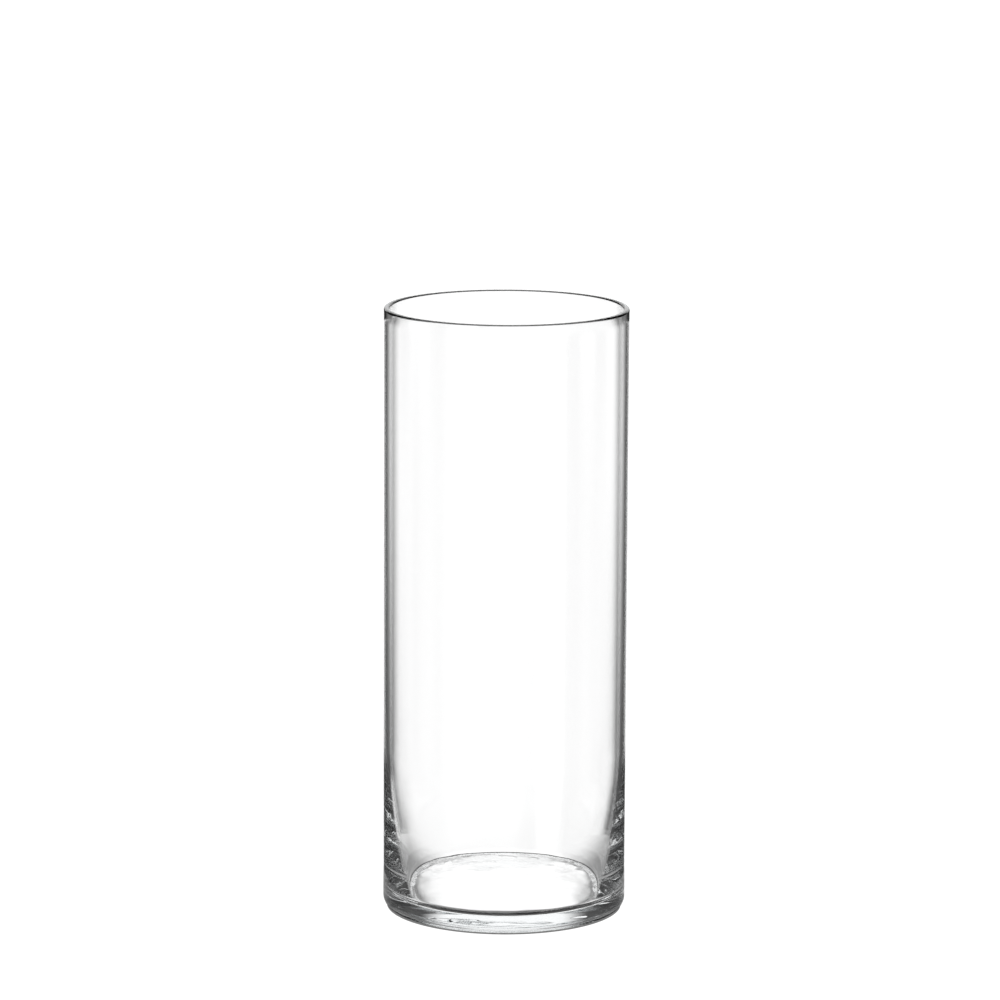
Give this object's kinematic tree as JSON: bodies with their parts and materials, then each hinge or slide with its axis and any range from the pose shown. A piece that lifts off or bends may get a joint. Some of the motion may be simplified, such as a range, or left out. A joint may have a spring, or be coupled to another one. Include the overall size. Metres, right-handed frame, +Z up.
{
  "type": "glass cylinder vase",
  "caption": "Tall straight-sided clear glass vase with a polished rim, a thick floor with a rounded heel, and a flat foot ring round a shallow hollow.",
  "frame": {"origin": "centre of the foot, on the surface that the vase stands on", "axes": "+Z up along the vase's axis, out of the mouth; X and Y across the vase, which is round"},
  "size_m": [0.12, 0.12, 0.3],
  "materials": {
    "clear_glass": "clear soda-lime glass, fire-polished, faintly blue-green in the thick base"
  },
  "bodies": {
    "root": {"glass_vessel": "clear_glass"}
  },
  "joints": []
}
